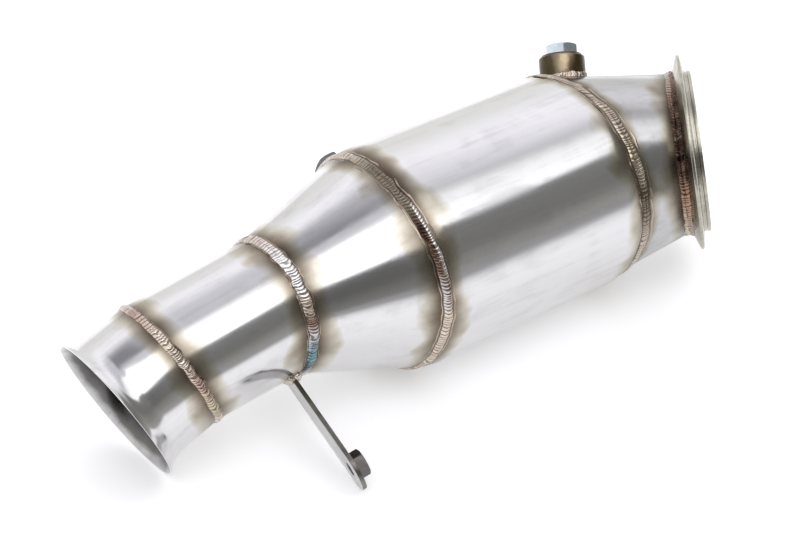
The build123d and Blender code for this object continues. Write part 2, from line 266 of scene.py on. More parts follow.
class DOWNPIPE_PG_fittings(bpy.types.PropertyGroup):
    """Sizes of the sensor bosses, their plugs, and the support strip with its nut."""

    boss_diameter: length("Boss", 0.0265, "Outside diameter of a boss")
    boss_height: length("Boss height", 0.0123, "Height of a boss above the wall")
    boss_chamfer: length("Boss chamfer", 0.0007, "Chamfer round the top")
    thread_diameter: length("Thread", 0.017, "Bore of a boss")
    washer_diameter: length("Washer", 0.0235, "Outside diameter of the washer")
    washer_thickness: length("Washer thickness", 0.001, "Thickness of the washer")
    plug_hex: length("Plug hexagon", 0.017, "Across the flats of the plug")
    plug_height: length("Plug height", 0.006, "Height of the plug's head")
    plug_chamfer: length("Plug chamfer", 0.0012, "Width turned off the hexagon's corners")
    front_angle: turn("Front boss angle", 158.4, "From the transition's hinge line")
    front_setback: length("Front boss setback", 0.016, "From the can's inlet seam along the wall")
    front_turn: turn("Front plug turn", -2.0, "Where the front plug was tightened")
    rear_angle: turn("Rear boss angle", 7.6, "Above the can's far side")
    rear_setback: length("Rear boss setback", 0.0283, "From the can's outlet seam")
    rear_turn: turn("Rear plug turn", 19.0, "Where the rear plug was tightened")
    strip_width: length("Strip width", 0.024, "Width of the support strip")
    strip_thickness: length("Strip thickness", 0.0026, "Thickness of the support strip")
    strip_length: length("Strip length", 0.0678, "From its root to the round end's centre")
    strip_yaw: turn("Strip yaw", 5.1, "Turn of the strip away from square")
    strip_drop: turn("Strip drop", 15.5, "Fall of the strip on its run")
    strip_twist: turn("Strip twist", 19.9, "Twist of the strip about its run")
    strip_setback: length("Strip setback", 0.003, "Root from the pipe's seam")
    strip_root_angle: turn("Strip root angle", 60.7, "Root below the pipe's side")
    strip_hole: length("Strip hole", 0.0075, "Diameter of the hole")
    strip_hole_setback: length("Hole setback", 0.0008, "Hole's centre before the round end's")
    nut_hex: length("Nut hexagon", 0.013, "Across the flats of the nut")
    nut_height: length("Nut height", 0.006, "Height of the nut")
    nut_chamfer: length("Nut chamfer", 0.001, "Width turned off the nut's corners")
    nut_bore: length("Nut bore", 0.0067, "Bore of the nut")
    nut_turn: turn("Nut turn", 0.0, "Where the nut was fixed")


class DOWNPIPE_PG_looks(bpy.types.PropertyGroup):
    """Colours and finishes."""

    steel: paint("Steel", 214, 213, 213, "Clean stainless sheet")
    turned: paint("Turned steel", 178, 174, 161, "Machined flange")
    bronze: paint("Bronze tint", 150, 139, 118, "Boss coloured by its weld's heat")
    zinc: paint("Zinc", 204, 214, 220, "Plated plugs")
    dark: paint("Dark nut", 92, 88, 86, "Blackened nut")
    foil: paint("Foil", 150, 146, 138, "Honeycomb's foil")
    rough: bpy.props.FloatProperty(
        name="Sheet roughness", description="Roughness of clean sheet", default=0.1, min=0.0, max=1.0,
        subtype="FACTOR",
    )
    floor: paint("Floor", 236, 236, 237, "Pale floor")


class DOWNPIPE_PG_settings(bpy.types.PropertyGroup):
    """All sizes and finishes of the downpipe."""

    path: bpy.props.PointerProperty(type=DOWNPIPE_PG_path, name="Gas path", description="Walls and seams")
    flange: bpy.props.PointerProperty(type=DOWNPIPE_PG_flange, name="Flange", description="Clamp flange")
    welds: bpy.props.PointerProperty(type=DOWNPIPE_PG_welds, name="Welds", description="Weld beads")
    fittings: bpy.props.PointerProperty(
        type=DOWNPIPE_PG_fittings, name="Fittings", description="Bosses, plugs, strip and nut"
    )
    looks: bpy.props.PointerProperty(type=DOWNPIPE_PG_looks, name="Looks", description="Colours and finishes")


# Places


def pitched(pitch, yaw=0.0):
    """Unit vector along X, turned towards -Y and pitched up."""
    return Vector((cos(pitch) * cos(yaw), -cos(pitch) * sin(yaw), sin(pitch)))


def stations(path, flange):
    """Centre and direction of every station of the gas path, by name."""
    straight = Vector((1.0, 0.0, 0.0))
    rising = pitched(path.pipe_pitch)
    outward = pitched(path.outlet_pitch)
    inward = pitched(path.inlet_pitch, path.inlet_yaw)
    inlet = -inward * flange.reach
    can_inlet = inlet - Vector((path.inlet_forward, -path.inlet_sideways, path.inlet_rise))
    can_outlet = can_inlet - straight * path.can_length
    cone_small = can_outlet - straight * path.cone_length
    outlet = cone_small - rising * path.pipe_length
    rim = outlet - outward * path.flare_length
    return {
        "rim": (rim, outward),
        "outlet": (outlet, outward),
        "cone_small": (cone_small, straight),
        "can_outlet": (can_outlet, straight),
        "can_inlet": (can_inlet, straight),
        "inlet": (inlet, inward),
    }


def seat(centre, direction, side):
    """Matrix that puts Z along a direction and X as near to a side as it can be."""
    upward = direction.normalized()
    along = (side - upward * side.dot(upward)).normalized()
    return Matrix.Translation(centre) @ Matrix((along, upward.cross(along), upward)).transposed().to_4x4()


def boss_places(path, fittings, spots):
    """Seats of the two bosses on the walls, front one first."""
    centre, straight = spots["can_inlet"]
    inlet, inward = spots["inlet"]
    hinge = straight.cross(inward).normalized()
    angle = fittings.front_angle
    start = seat(centre, straight, hinge)
    end = seat(inlet, inward, hinge)
    spoke = Vector((cos(angle), sin(angle), 0.0))
    near = start @ (spoke * (path.can_inlet_diameter / 2))
    far = end @ (spoke * (path.inlet_diameter / 2))
    along = (far - near).normalized()
    around = start.to_3x3() @ Vector((-sin(angle), cos(angle), 0.0))
    upward = around.cross(along).normalized()
    front = seat(near + along * fittings.front_setback, upward, along)
    side = Vector((0.0, cos(fittings.rear_angle), sin(fittings.rear_angle)))
    foot = spots["can_outlet"][0] + straight * fittings.rear_setback + side * (path.can_diameter / 2)
    return front, seat(foot, side, straight)


# Making meshes


def put(name, mesh_edit, finish, node, sharp=35.0):
    """Makes the object of a finished mesh, and lets it stand for its CAD node."""
    mesh = bpy.data.meshes.new(name)
    mesh_edit.to_mesh(mesh)
    mesh_edit.free()
    for material in finish if isinstance(finish, tuple) else (finish,):
        mesh.materials.append(material)
    mesh.shade_smooth()
    mesh.set_sharp_from_angle(angle=radians(sharp))
    piece = bpy.data.objects.new(name, mesh)
    bpy.context.scene.collection.objects.link(piece)
    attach(piece, "root")
    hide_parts(node)


def close_up(mesh_edit):
    """Merges doubles and turns the faces outwards."""
    bmesh.ops.remove_doubles(mesh_edit, verts=mesh_edit.verts, dist=1e-7)
    bmesh.ops.recalc_face_normals(mesh_edit, faces=mesh_edit.faces)


def move_to(mesh_edit, place):
    """Puts a mesh that was made about Z in its place."""
    bmesh.ops.transform(mesh_edit, matrix=place, verts=mesh_edit.verts)
    bmesh.ops.recalc_face_normals(mesh_edit, faces=mesh_edit.faces)
    return mesh_edit


def bevelled(mesh_edit, geometry, width, sections, affect, clamped):
    """Rounds edges or corners off."""
    bmesh.ops.bevel(
        mesh_edit, geom=geometry, offset=width, offset_type="OFFSET", segments=sections, profile=0.5,
        affect=affect, clamp_overlap=clamped, material=-1,
    )


def soften(mesh_edit, width, sharper=25.0):
    """Rounds the edges where two faces meet more sharply than an angle."""
    edges = [e for e in mesh_edit.edges if e.is_manifold and e.calc_face_angle() > radians(sharper)]
    bevelled(mesh_edit, edges, width, 2, "EDGES", True)


def spun(outline, place, steps, closed=True):
    """Turns an outline of (along, radius) pairs about the Z of a place."""
    mesh_edit = bmesh.new()
    corners = [mesh_edit.verts.new((radius, 0.0, along)) for along, radius in outline]
    last = len(corners) if closed else len(corners) - 1
    lines = [mesh_edit.edges.new((corners[i], corners[(i + 1) % len(corners)])) for i in range(last)]
    bmesh.ops.spin(
        mesh_edit, geom=corners + lines, cent=(0.0, 0.0, 0.0), axis=UPWARD, dvec=(0.0, 0.0, 0.0), angle=tau,
        steps=steps, use_merge=True, use_duplicate=False,
    )
    close_up(mesh_edit)
    bmesh.ops.transform(mesh_edit, matrix=place, verts=mesh_edit.verts)
    return mesh_edit


def ruled(start, start_radius, end, end_radius, thickness, steps):
    """Wall with straight sides between two round sections, bridged from rings."""
    mesh_edit = bmesh.new()
    loops = []
    for place, radius in (
        (start, start_radius),
        (end, end_radius),
        (end, end_radius - thickness),
        (start, start_radius - thickness),
    ):
        made = bmesh.ops.create_circle(mesh_edit, segments=steps, radius=radius, matrix=place)["verts"]
        loops.append(list({edge for vert in made for edge in vert.link_edges}))
    for index in range(4):
        bmesh.ops.bridge_loops(mesh_edit, edges=loops[index] + loops[(index + 1) % 4])
    close_up(mesh_edit)
    return mesh_edit


def inner_faces(mesh_edit, centre, direction):
    """Gives the faces that look at an axis the second material."""
    for face in mesh_edit.faces:
        middle = face.calc_center_median()
        spoke = middle - centre - direction * (middle - centre).dot(direction)
        if face.normal.dot(spoke.normalized()) < -0.3:
            face.material_index = 1


def flare_line(path, inset):
    """Outline of the outlet stub from its rim to its seam, at an inset from the outer face."""
    splay = path.flare_splay
    rim = path.flare_rim_diameter / 2 - inset / cos(splay)
    bore = path.tube_diameter / 2 - inset
    radius = path.flare_knee + inset
    centre = (rim - bore) / tan(splay) + radius * tan(splay / 2)
    turns = [splay * (1 - k / 10) for k in range(11)]
    bend = [(centre - radius * sin(angle), bore + radius - radius * cos(angle)) for angle in turns]
    return [(0.0, rim), *bend, (path.flare_length, bore)]


def can_line(path, inset):
    """Outline of the can from its outlet seam to its inlet seam, at an inset from the outer face."""
    full, draw = path.can_diameter / 2, path.can_draw
    line = []
    for end, start, step in (
        (path.can_outlet_diameter / 2, 0.0, 1),
        (path.can_inlet_diameter / 2, path.can_length, -1),
    ):
        drop = full - end
        radius = (draw**2 + drop**2) / (2 * drop)
        falls = [sqrt(radius**2 - (draw * (1 - k / 10)) ** 2) for k in range(11)]
        arc = [(start + step * draw * k / 10, full - radius + fall - inset) for k, fall in enumerate(falls)]
        line += arc if step > 0 else arc[::-1]
    return line


def wobble(turn_share, speed, seed):
    """Smooth chance value between about -1 and 1 that closes on itself once round a ring."""
    spot = Vector((cos(tau * turn_share) * speed, sin(tau * turn_share) * speed, seed * 7.31))
    return noise.noise(spot) * 1.6


def coin_edge(phase):
    """Height of overlapping coins along a bead: 1 at the middle of each, low in the grooves between them."""
    scale = 2 * (phase - floor(phase)) - 1
    return sqrt(max(0.0, 1 - 0.92 * scale**2))


def open_ring(outline, steps):
    """Strip spun about Z, with layers for its ripples and for its place across."""
    mesh_edit = spun(outline, Matrix.Identity(4), steps, closed=False)
    layers = mesh_edit.verts.layers.float
    return mesh_edit, layers.new("ripple"), layers.new("across")


def lay_map(mesh_edit, across_layer):
    """UV map of a bead: its place round the ring and its place across."""
    sheet_map = mesh_edit.loops.layers.uv.new("bead")
    for face in mesh_edit.faces:
        rounds = [atan2(loop.vert.co.y, loop.vert.co.x) / tau % 1.0 for loop in face.loops]
        wraps = max(rounds) - min(rounds) > 0.5
        for loop, share_round in zip(face.loops, rounds):
            past = 1.0 if wraps and share_round < 0.5 else 0.0
            loop[sheet_map].uv = (share_round + past, 0.5 + 0.5 * loop.vert[across_layer])


def bead(place, radius, width, height, welds, walls, seed, rope, washes, sway, lean):
    """Weld round a seam: a rippled rope between washed edges, laid on the walls, with a UV map."""
    outline = [(width / 2 * (2 * k / BEAD_ROWS - 1), radius) for k in range(BEAD_ROWS + 1)]
    mesh_edit, ripple_layer, across_layer = open_ring(outline, BEAD_STEPS)
    count = round(tau * radius / welds.ripple_pitch)
    turned = place.to_3x3()
    axis = turned @ UPWARD
    rounds = {}
    for vert in mesh_edit.verts:
        x, y, z = vert.co
        spot = round(atan2(y, x) / tau % 1.0 * BEAD_STEPS) % BEAD_STEPS
        if spot not in rounds:
            share_round = spot / BEAD_STEPS
            swing = sin(2 * tau * (share_round - sway[1])) + sin(3 * tau * (share_round - sway[1]))
            # The lean starts a fifth of the way round, holds to a third and has faded out before the half
            edge = min(1.0, max(0.0, (0.45 - share_round) / 0.12)) if share_round > 0.2 else 0.0
            spoke = Vector((cos(tau * share_round), sin(tau * share_round), 0.0))
            rounds[spot] = (
                spoke,
                place @ (spoke * (radius + RAY_START)),
                -(turned @ spoke),
                count * share_round + 0.9 * wobble(share_round, 9.0, seed),
                wobble(share_round, 22.0, seed + 1) * 0.3 + wobble(share_round, 5.0, seed + 2) * 0.35,
                sway[0] * swing
                + lean * edge * edge * (3 - 2 * edge)
                + WANDER * wobble(share_round, 5.0, seed + 3),
                1 + 0.12 * wobble(share_round, 11.0, seed + 6),
                0.09 * wobble(share_round, 7.0, seed + 4),
                [max(0.0, 0.7 + 0.8 * wobble(share_round, 6.0, seed + side)) for side in (7, 8)],
            )
        spoke, above, inward, phase, lump, drift, spread, shift, washed = rounds[spot]
        across = z / (width / 2)
        core = (across - shift) / rope
        crown = max(0.0, 1 - core**2)
        coin = coin_edge(phase + 0.5 * core**2) if crown else 0.85
        lift = height * (1 + 0.22 * lump) * crown**0.8
        lift += welds.ripple_depth * (coin - 0.75) * min(1.0, crown * 1.6)
        side = 0 if across < 0 else 1
        lift += washes[side] * washed[side] * RIDGE_HEIGHT * exp(-(((abs(across) - 0.8 - shift) / 0.08) ** 2))
        z = z * spread + drift
        falls = [tree.ray_cast(above + axis * z, inward, RAY_LENGTH)[3] for tree in walls]
        wall_radius = radius + RAY_START - min(fall for fall in falls if fall)
        vert.co = spoke * (wall_radius + lift - BEAD_SUNK) + Vector((0.0, 0.0, z))
        vert[ripple_layer] = coin
        vert[across_layer] = across
    lay_map(mesh_edit, across_layer)
    return move_to(mesh_edit, place)


def boss_bead(place, radius, size, reach, welds, walls, seed):
    """Fillet of weld at a boss's foot, which follows the curved wall."""
    quarter = [pi / 2 * k / FILLET_ROWS for k in range(FILLET_ROWS + 1)]
    outline = [(size * sin(angle) ** 0.8, radius + reach * cos(angle)) for angle in quarter]
    outline = [(-0.0012, radius + reach * 1.15), *outline]
    mesh_edit, ripple_layer, across_layer = open_ring(outline, FILLET_STEPS)
    count = round(tau * radius / (welds.ripple_pitch * 0.8))
    down = -(place.to_3x3() @ UPWARD)
    feet = {}
    for vert in mesh_edit.verts:
        x, y, z = vert.co
        share_round = atan2(y, x) / tau % 1.0
        key = round(share_round * FILLET_STEPS)
        if key not in feet:
            beside, angle = radius + reach * 0.6, tau * share_round
            foot = place @ Vector((cos(angle) * beside, sin(angle) * beside, RAY_START))
            hits = [tree.ray_cast(foot, down, RAY_LENGTH)[0] for tree in walls]
            feet[key] = max((place.inverted() @ hit).z for hit in hits if hit)
        across = 1 - max(0.0, z) / size
        # The fillet is laid on thickest towards the front, where the strip is, and thin elsewhere
        full = (place.to_3x3() @ Vector((x, y, 0.0))).normalized().dot(Vector((-0.25, -0.968, 0.0)))
        full = min(1.0, max(0.0, (full - 0.3) / 0.5)) * (0.8 + 0.3 * wobble(share_round, 8.0, seed + 2))
        z *= 0.25 + 0.75 * full if z > 0 else 1.0
        crown = max(0.0, 1 - (2 * across - 1) ** 2)
        phase = count * share_round + 0.5 * (2 * across - 1) ** 2 + 1.2 * wobble(share_round, 4.0, seed)
        coin = coin_edge(phase)
        lift = (welds.ripple_depth * (coin - 0.7) + 0.0007 * wobble(share_round, 6.0, seed + 1)) * crown
        lift += 0.0005 * noise.noise(Vector((x, y, z)) * 500) * crown
        grown = (hypot(x, y) + lift * 0.7) / hypot(x, y)
        vert.co = (x * grown, y * grown, z + feet[key] + lift * 0.7)
        vert[ripple_layer] = coin
        vert[across_layer] = 2 * across - 1
    lay_map(mesh_edit, across_layer)
    return move_to(mesh_edit, place)


def hexagon(place, across_flats, height, chamfer, turned_by, bore=0.0, shank=0.0):
    """Hexagon milled from a spun blank, its corners turned off, with a bore or a shank."""
    corner = across_flats / 2 / cos(pi / 6)
    drop = chamfer * tan(pi / 6)
    outline = [(height - 2 * drop * k / 8, corner - chamfer + 2 * chamfer * k / 8) for k in range(9)]
    outline += [(height * 0.4, corner), (0.0, corner)]
    if bore:
        outline = [(height - 0.0006, bore), (height, bore + 0.0006), *outline, (0.0, bore)]
    else:
        outline = [(height, 0.0002), (height, corner * 0.4), *outline]
        outline += [(0.0, shank), (-shank * 1.2, shank), (-shank * 1.2, 0.0002)]
    mesh_edit = spun(outline, Matrix.Identity(4), SMALL_STEPS)
    for vert in mesh_edit.verts:
        bearing = atan2(vert.co.y, vert.co.x) - turned_by
        away = (bearing + pi / 6) % (pi / 3) - pi / 6
        limit = across_flats / 2 / cos(away)
        radius = hypot(vert.co.x, vert.co.y)
        if radius > limit:
            vert.co = (vert.co.x * limit / radius, vert.co.y * limit / radius, vert.co.z)
    bmesh.ops.dissolve_degenerate(mesh_edit, dist=1e-6, edges=mesh_edit.edges)
    return move_to(mesh_edit, place)


def tree_of(name):
    """Tree of a built piece's faces, to find its surface with."""
    mesh = bpy.data.objects[name].data
    return BVHTree.FromPolygons([v.co for v in mesh.vertices], [p.vertices for p in mesh.polygons])


# Node helpers


class Flow:
    """What a node puts out. Plain arithmetic on it makes Math nodes in the same tree."""

    def __init__(self, socket):
        self.socket = socket

    def __add__(self, other):
        return maths("ADD", self, other)

    def __sub__(self, other):
        return maths("SUBTRACT", self, other)

    def __rsub__(self, other):
        return maths("SUBTRACT", other, self)

    def __mul__(self, other):
        return maths("MULTIPLY", self, other)

    def __truediv__(self, other):
        return maths("DIVIDE", self, other)


def tree_in(*values):
    """Node tree of the first of some values that a node puts out."""
    return next(value.socket.id_data for value in values if isinstance(value, Flow))


def join(socket, value):
    """Joins what a node puts out to a socket, or sets the socket to a plain value."""
    if isinstance(value, Flow):
        socket.id_data.links.new(value.socket, socket)
    else:
        socket.default_value = (*value[:3], 1.0) if socket.type == "RGBA" else value


def wire(tree, kind, sockets=None, out=None, **settings):
    """New node with its settings and sockets; gives one of its outputs, or all of them by name."""
    item = tree.nodes.new(kind)
    for key, value in settings.items():
        setattr(item, key, value)
    for key, value in (sockets or {}).items():
        join(item.inputs[key], value)
    return {socket.name: Flow(socket) for socket in item.outputs} if out is None else Flow(item.outputs[out])


def maths(operation, *values):
    """Output of a Math node."""
    return wire(tree_in(*values), "ShaderNodeMath", dict(enumerate(values)), 0, operation=operation)


def vectors(operation, *values):
    """Output of a Vector Math node."""
    out = "Value" if operation == "DOT_PRODUCT" else "Vector"
    return wire(tree_in(*values), "ShaderNodeVectorMath", dict(enumerate(values)), out, operation=operation)


def scaled(vector, amount):
    """Vector or colour times an amount."""
    sockets = {0: vector, "Scale": amount}
    return wire(tree_in(amount), "ShaderNodeVectorMath", sockets, "Vector", operation="SCALE")


def between(value, low, high, start=0.0, end=1.0):
    """Smooth step of a value from one limit to another."""
    sockets = {"Value": value, "From Min": low, "From Max": high, "To Min": start, "To Max": end}
    return wire(tree_in(value), "ShaderNodeMapRange", sockets, "Result", interpolation_type="SMOOTHSTEP")


def blended(amount, first, second, mode="MIX"):
    """Colour output of a Mix node."""
    sockets = {0: amount, 6: first, 7: second}
    tree = tree_in(amount, first, second)
    settings = {"data_type": "RGBA", "blend_type": mode, "clamp_factor": True}
    return wire(tree, "ShaderNodeMix", sockets, 2, **settings)


def ramp(value, *stops):
    """Colour ramp through stops of (place, colour)."""
    flow = wire(tree_in(value), "ShaderNodeValToRGB", {"Fac": value}, "Color")
    band = flow.socket.node.color_ramp
    while len(band.elements) > 1:
        band.elements.remove(band.elements[-1])
    for index, (spot, tone) in enumerate(stops):
        stop = band.elements[0] if index == 0 else band.elements.new(spot)
        stop.position = spot
        stop.color = (*tone, 1.0)
    return flow


def tones(words):
    """Stops of a colour ramp from words: a place, then the tone's name there."""
    words = words.split()
    return [(float(spot), TONES[tone]) for spot, tone in zip(words[::2], words[1::2])]


def clouds(place, size, detail=3.0, rough=0.55, distortion=0.0):
    """Noise value whose features are about as large as size, in metres."""
    sockets = {"Vector": place, "Scale": 1 / size, "Detail": detail, "Roughness": rough}
    sockets["Distortion"] = distortion
    return wire(tree_in(place), "ShaderNodeTexNoise", sockets, "Fac", noise_dimensions="3D")


def group(name, given, results):
    """Empty shader node group with named sockets: what it is given, and the sockets for its results."""
    tree = bpy.data.node_groups.new(name, "ShaderNodeTree")
    for label, value in given.items():
        kind = value if isinstance(value, str) else "Float"
        item = tree.interface.new_socket(label, in_out="INPUT", socket_type="NodeSocket" + kind)
        if not isinstance(value, str):
            item.default_value = value
    for label, kind in results.items():
        tree.interface.new_socket(label, in_out="OUTPUT", socket_type="NodeSocket" + kind)
    return wire(tree, "NodeGroupInput"), tree.nodes.new("NodeGroupOutput").inputs


def heat_tint_group():
    """Temper colours that a weld leaves on both sides of a flat seam, cloudy and uneven in width."""
    given, result = group(
        "Heat tint",
        {"Place": "Vector", "Seam Centre": "Vector", "Seam Direction": "Vector", "Reach": 0.009},
        {"Tint": "Color", "Mask": "Float"},
    )
    place = given["Place"]
    offset = vectors("SUBTRACT", place, given["Seam Centre"])
    away = maths("ABSOLUTE", vectors("DOT_PRODUCT", offset, given["Seam Direction"]))
    uneven = clouds(place, 0.02, 1.5, 0.5) * 1.6 + clouds(place, 0.006, 2.0, 0.5) * 0.25
    level = away / given["Reach"] * uneven - 0.12
    join(result["Tint"], ramp(level, *TEMPER))
    join(result["Mask"], between(level, 0.95, 0.1))


def sheet_group():
    """Drawn sheet: streaks along an axis, smudges, and the height of its waviness."""
    given, result = group(
        "Drawn sheet",
        {"Place": "Vector", "Axis": "Vector", "Waviness": 0.00005},
        {"Streaks": "Float", "Smudges": "Float", "Height": "Float"},
    )
    place, axis, waviness = given["Place"], given["Axis"], given["Waviness"]
    drawn = vectors("ADD", place, scaled(axis, vectors("DOT_PRODUCT", place, axis) * -0.93))
    streaks = clouds(drawn, 0.0016, 4.0, 0.7)
    join(result["Streaks"], streaks)
    smudge = clouds(place, 0.03, 4.0, 0.6, 0.6) * clouds(drawn, 0.006, 3.0, 0.6)
    join(result["Smudges"], between(smudge, 0.2, 0.42))
    wave = clouds(place, 0.026, 1.0, 0.4) * waviness
    ripple = clouds(drawn, 0.009, 1.5, 0.5) * (waviness * 0.25)
    join(result["Height"], wave + ripple + streaks * (waviness * 0.018))


def weld_group():
    """Laid weld: toes and grooves darkened with painted shade in these creases and with dirt, and patches of
    temper colour.
    """
    given, result = group(
        "Laid weld",
        {"Place": "Vector", "Across": 0.5, "Ripple": 1.0, "Rope": 0.6, "Colour": "Color"},
        {"Colour": "Color", "Grooves": "Float"},
    )
    place, rope = given["Place"], given["Rope"]
    wavy = maths("ABSOLUTE", given["Across"] * 2.0 - 1.0) + clouds(place, 0.005, 2.0) * 0.14
    # Painted shade and dirt: dark in the line between rope and ridges, at the toes and in the grooves between
    # ripples
    line = between(maths("ABSOLUTE", wavy - (rope + 0.1)), 0.1, 0.03)
    toe = between(wavy, 0.88, 1.0)
    groove = between(given["Ripple"], 0.92, 0.5)
    crease_shade_and_dirt = maths("MAXIMUM", maths("MAXIMUM", toe, line * 0.9), groove * 0.85)
    patches = between(clouds(place, 0.006, 2.0), 0.4, 0.7, 0.0, 0.35)
    patchy = blended(patches, given["Colour"], screen(150, 126, 110))
    patchy = blended(between(wavy - rope, 0.06, 0.16), patchy, screen(174, 160, 144))
    join(result["Colour"], blended(crease_shade_and_dirt * 0.88, patchy, screen(64, 50, 42)))
    join(result["Grooves"], crease_shade_and_dirt)


def use(group_name, sockets):
    """Places a shader node group, and gives its outputs by name."""
    shared = bpy.data.node_groups[group_name]
    return wire(tree_in(*sockets.values()), "ShaderNodeGroup", sockets, node_tree=shared)


def shader(name):
    """New material, and the Object coordinates in it."""
    material = bpy.data.materials.new(name)
    material.use_nodes = True
    return material, wire(material.node_tree, "ShaderNodeTexCoord", out="Object")


def coated(material, colour, roughness, height):
    """Finishes a metal's material with its colour, its roughness and its relief in metres."""
    tree = material.node_tree
    inputs = tree.nodes["Principled BSDF"].inputs
    join(inputs["Base Color"], colour)
    join(inputs["Metallic"], 1.0)
    join(inputs["Roughness"], roughness)
    relief = {"Height": height, "Distance": 1.0, "Strength": 1.0}
    join(inputs["Normal"], wire(tree, "ShaderNodeBump", relief, "Normal"))
    return material


def sheet_steel(name, looks, axis, seams=(), tone=1.0, waviness=0.00005, rough=0.0, lip=None):
    """Satin stainless sheet with temper colours at its seams, or with painted shade that darkens it with its
    depth behind a lip.
    """
    material, place = shader(name)
    drawn = use("Drawn sheet", {"Place": place, "Axis": axis, "Waviness": waviness})
    base = tuple(c * tone for c in looks.steel)
    dull = tuple(c * 0.86 for c in base)
    colour = blended(drawn["Smudges"], base, dull)
    colour = blended(between(drawn["Streaks"], 0.3, 0.75, 0.0, 0.16), colour, dull)
    if lip:
        # Painted shade: the bore grows darker with its depth behind the lip
        depth = vectors("DOT_PRODUCT", vectors("SUBTRACT", place, lip[0]), lip[1])
        depth = depth + clouds(place, 0.01) * 0.004
        colour = blended(1.0, colour, ramp(depth * 50.0, *BORE_PAINTED_SHADE), "MULTIPLY")
    heated = None
    for centre, direction, reach in seams:
        sockets = {"Place": place, "Seam Centre": centre, "Seam Direction": direction, "Reach": reach}
        tint = use("Heat tint", sockets)
        colour = blended(1.0, colour, tint["Tint"], "MULTIPLY")
        heated = maths("MAXIMUM", heated, tint["Mask"]) if heated else tint["Mask"]
    roughness = maths("MULTIPLY_ADD", drawn["Smudges"], 0.07, looks.rough + rough)
    if heated:
        roughness = roughness + heated * 0.09
    return coated(material, colour, roughness + drawn["Streaks"] * 0.05, drawn["Height"])


def weld_metal(name, stops, other=None, rope=1.2):
    """Weld bead, with its colours by their place round the seam; a side that differs has its own."""
    material, place = shader(name)
    tree = material.node_tree
    parts = wire(tree, "ShaderNodeSeparateXYZ", {0: wire(tree, "ShaderNodeUVMap", out="UV", uv_map="bead")})
    ripple = wire(tree, "ShaderNodeAttribute", out="Fac", attribute_name="ripple")
    shifted = parts["X"] + (clouds(place, 0.006) - 0.5) * 0.05
    stretch = ramp(shifted, *tones(stops))
    if other:
        stretch = blended(between(parts["Y"], 0.5, 0.58), stretch, ramp(shifted, *tones(other)))
    sockets = {"Place": place, "Across": parts["Y"], "Ripple": ripple, "Rope": rope, "Colour": stretch}
    laid = use("Laid weld", sockets)
    roughness = maths("MULTIPLY_ADD", laid["Grooves"], 0.22, 0.2)
    return coated(material, laid["Colour"], roughness, clouds(place, 0.0009, 2.0) * 0.00005)


def turned_metal(name, tone, rough, place_on, ring=0.0, mottled=0.35, sides=None):
    """Machined or plated metal, mottled, with turning rings, and with painted highlight and shade in bands
    round its sides where it is given them.
    """
    material, place = shader(name)
    local = vectors("SUBTRACT", place, place_on[0])
    cloudy = between(clouds(place, 0.006, 4.0, 0.65), 0.38, 0.68)
    colour = blended(cloudy * mottled, tone, tuple(c * 0.55 for c in tone))
    if sides:
        # Painted highlight and shade: bands by the side each point faces
        swing = vectors("DOT_PRODUCT", vectors("NORMALIZE", local), sides[0]) + clouds(place, 0.006) * 0.3
        bands = ramp(maths("MULTIPLY_ADD", swing, 0.5, 0.5), *sides[1])
        colour = blended(1.0, colour, bands, "MULTIPLY")
    height = clouds(place, 0.0012, 2.0) * 0.00002
    if ring:
        run = vectors("DOT_PRODUCT", local, place_on[1])
        height = height + maths("SINE", run * (tau / ring)) * 0.000003
    return coated(material, colour, maths("MULTIPLY_ADD", cloudy, 0.12, rough), height)


# The stage's parts


def paper(looks):
    """Material of the pale floor, which keeps the object's shadow and shows in the metal."""
    material = bpy.data.materials.new("Pale floor")
    material.use_nodes = True
    tree = material.node_tree
    tree.nodes.clear()
    ray = wire(tree, "ShaderNodeLightPath")
    place = wire(tree, "ShaderNodeTexCoord", out="Object")
    # Past the paper's front edge the metal mirrors the dark of the room
    front = vectors("DOT_PRODUCT", vectors("SUBTRACT", place, (-0.15, 0.03, 0.0)), CAMERA_SIDE)
    kept = 1.0 - between(front, 0.2, 0.8) * ray["Is Glossy Ray"] * 0.68
    matte = wire(tree, "ShaderNodeBsdfDiffuse", {"Color": scaled(looks.floor, kept)}, 0)
    mirrored = maths("MAXIMUM", ray["Is Glossy Ray"], ray["Is Transmission Ray"])
    seen = maths("MAXIMUM", ray["Is Camera Ray"], mirrored)
    glow = wire(tree, "ShaderNodeEmission", {"Color": WHITE, "Strength": seen * kept * 0.4}, 0)
    joined = wire(tree, "ShaderNodeAddShader", {0: matte, 1: glow}, 0)
    wire(tree, "ShaderNodeOutputMaterial", {"Surface": joined})
    return material


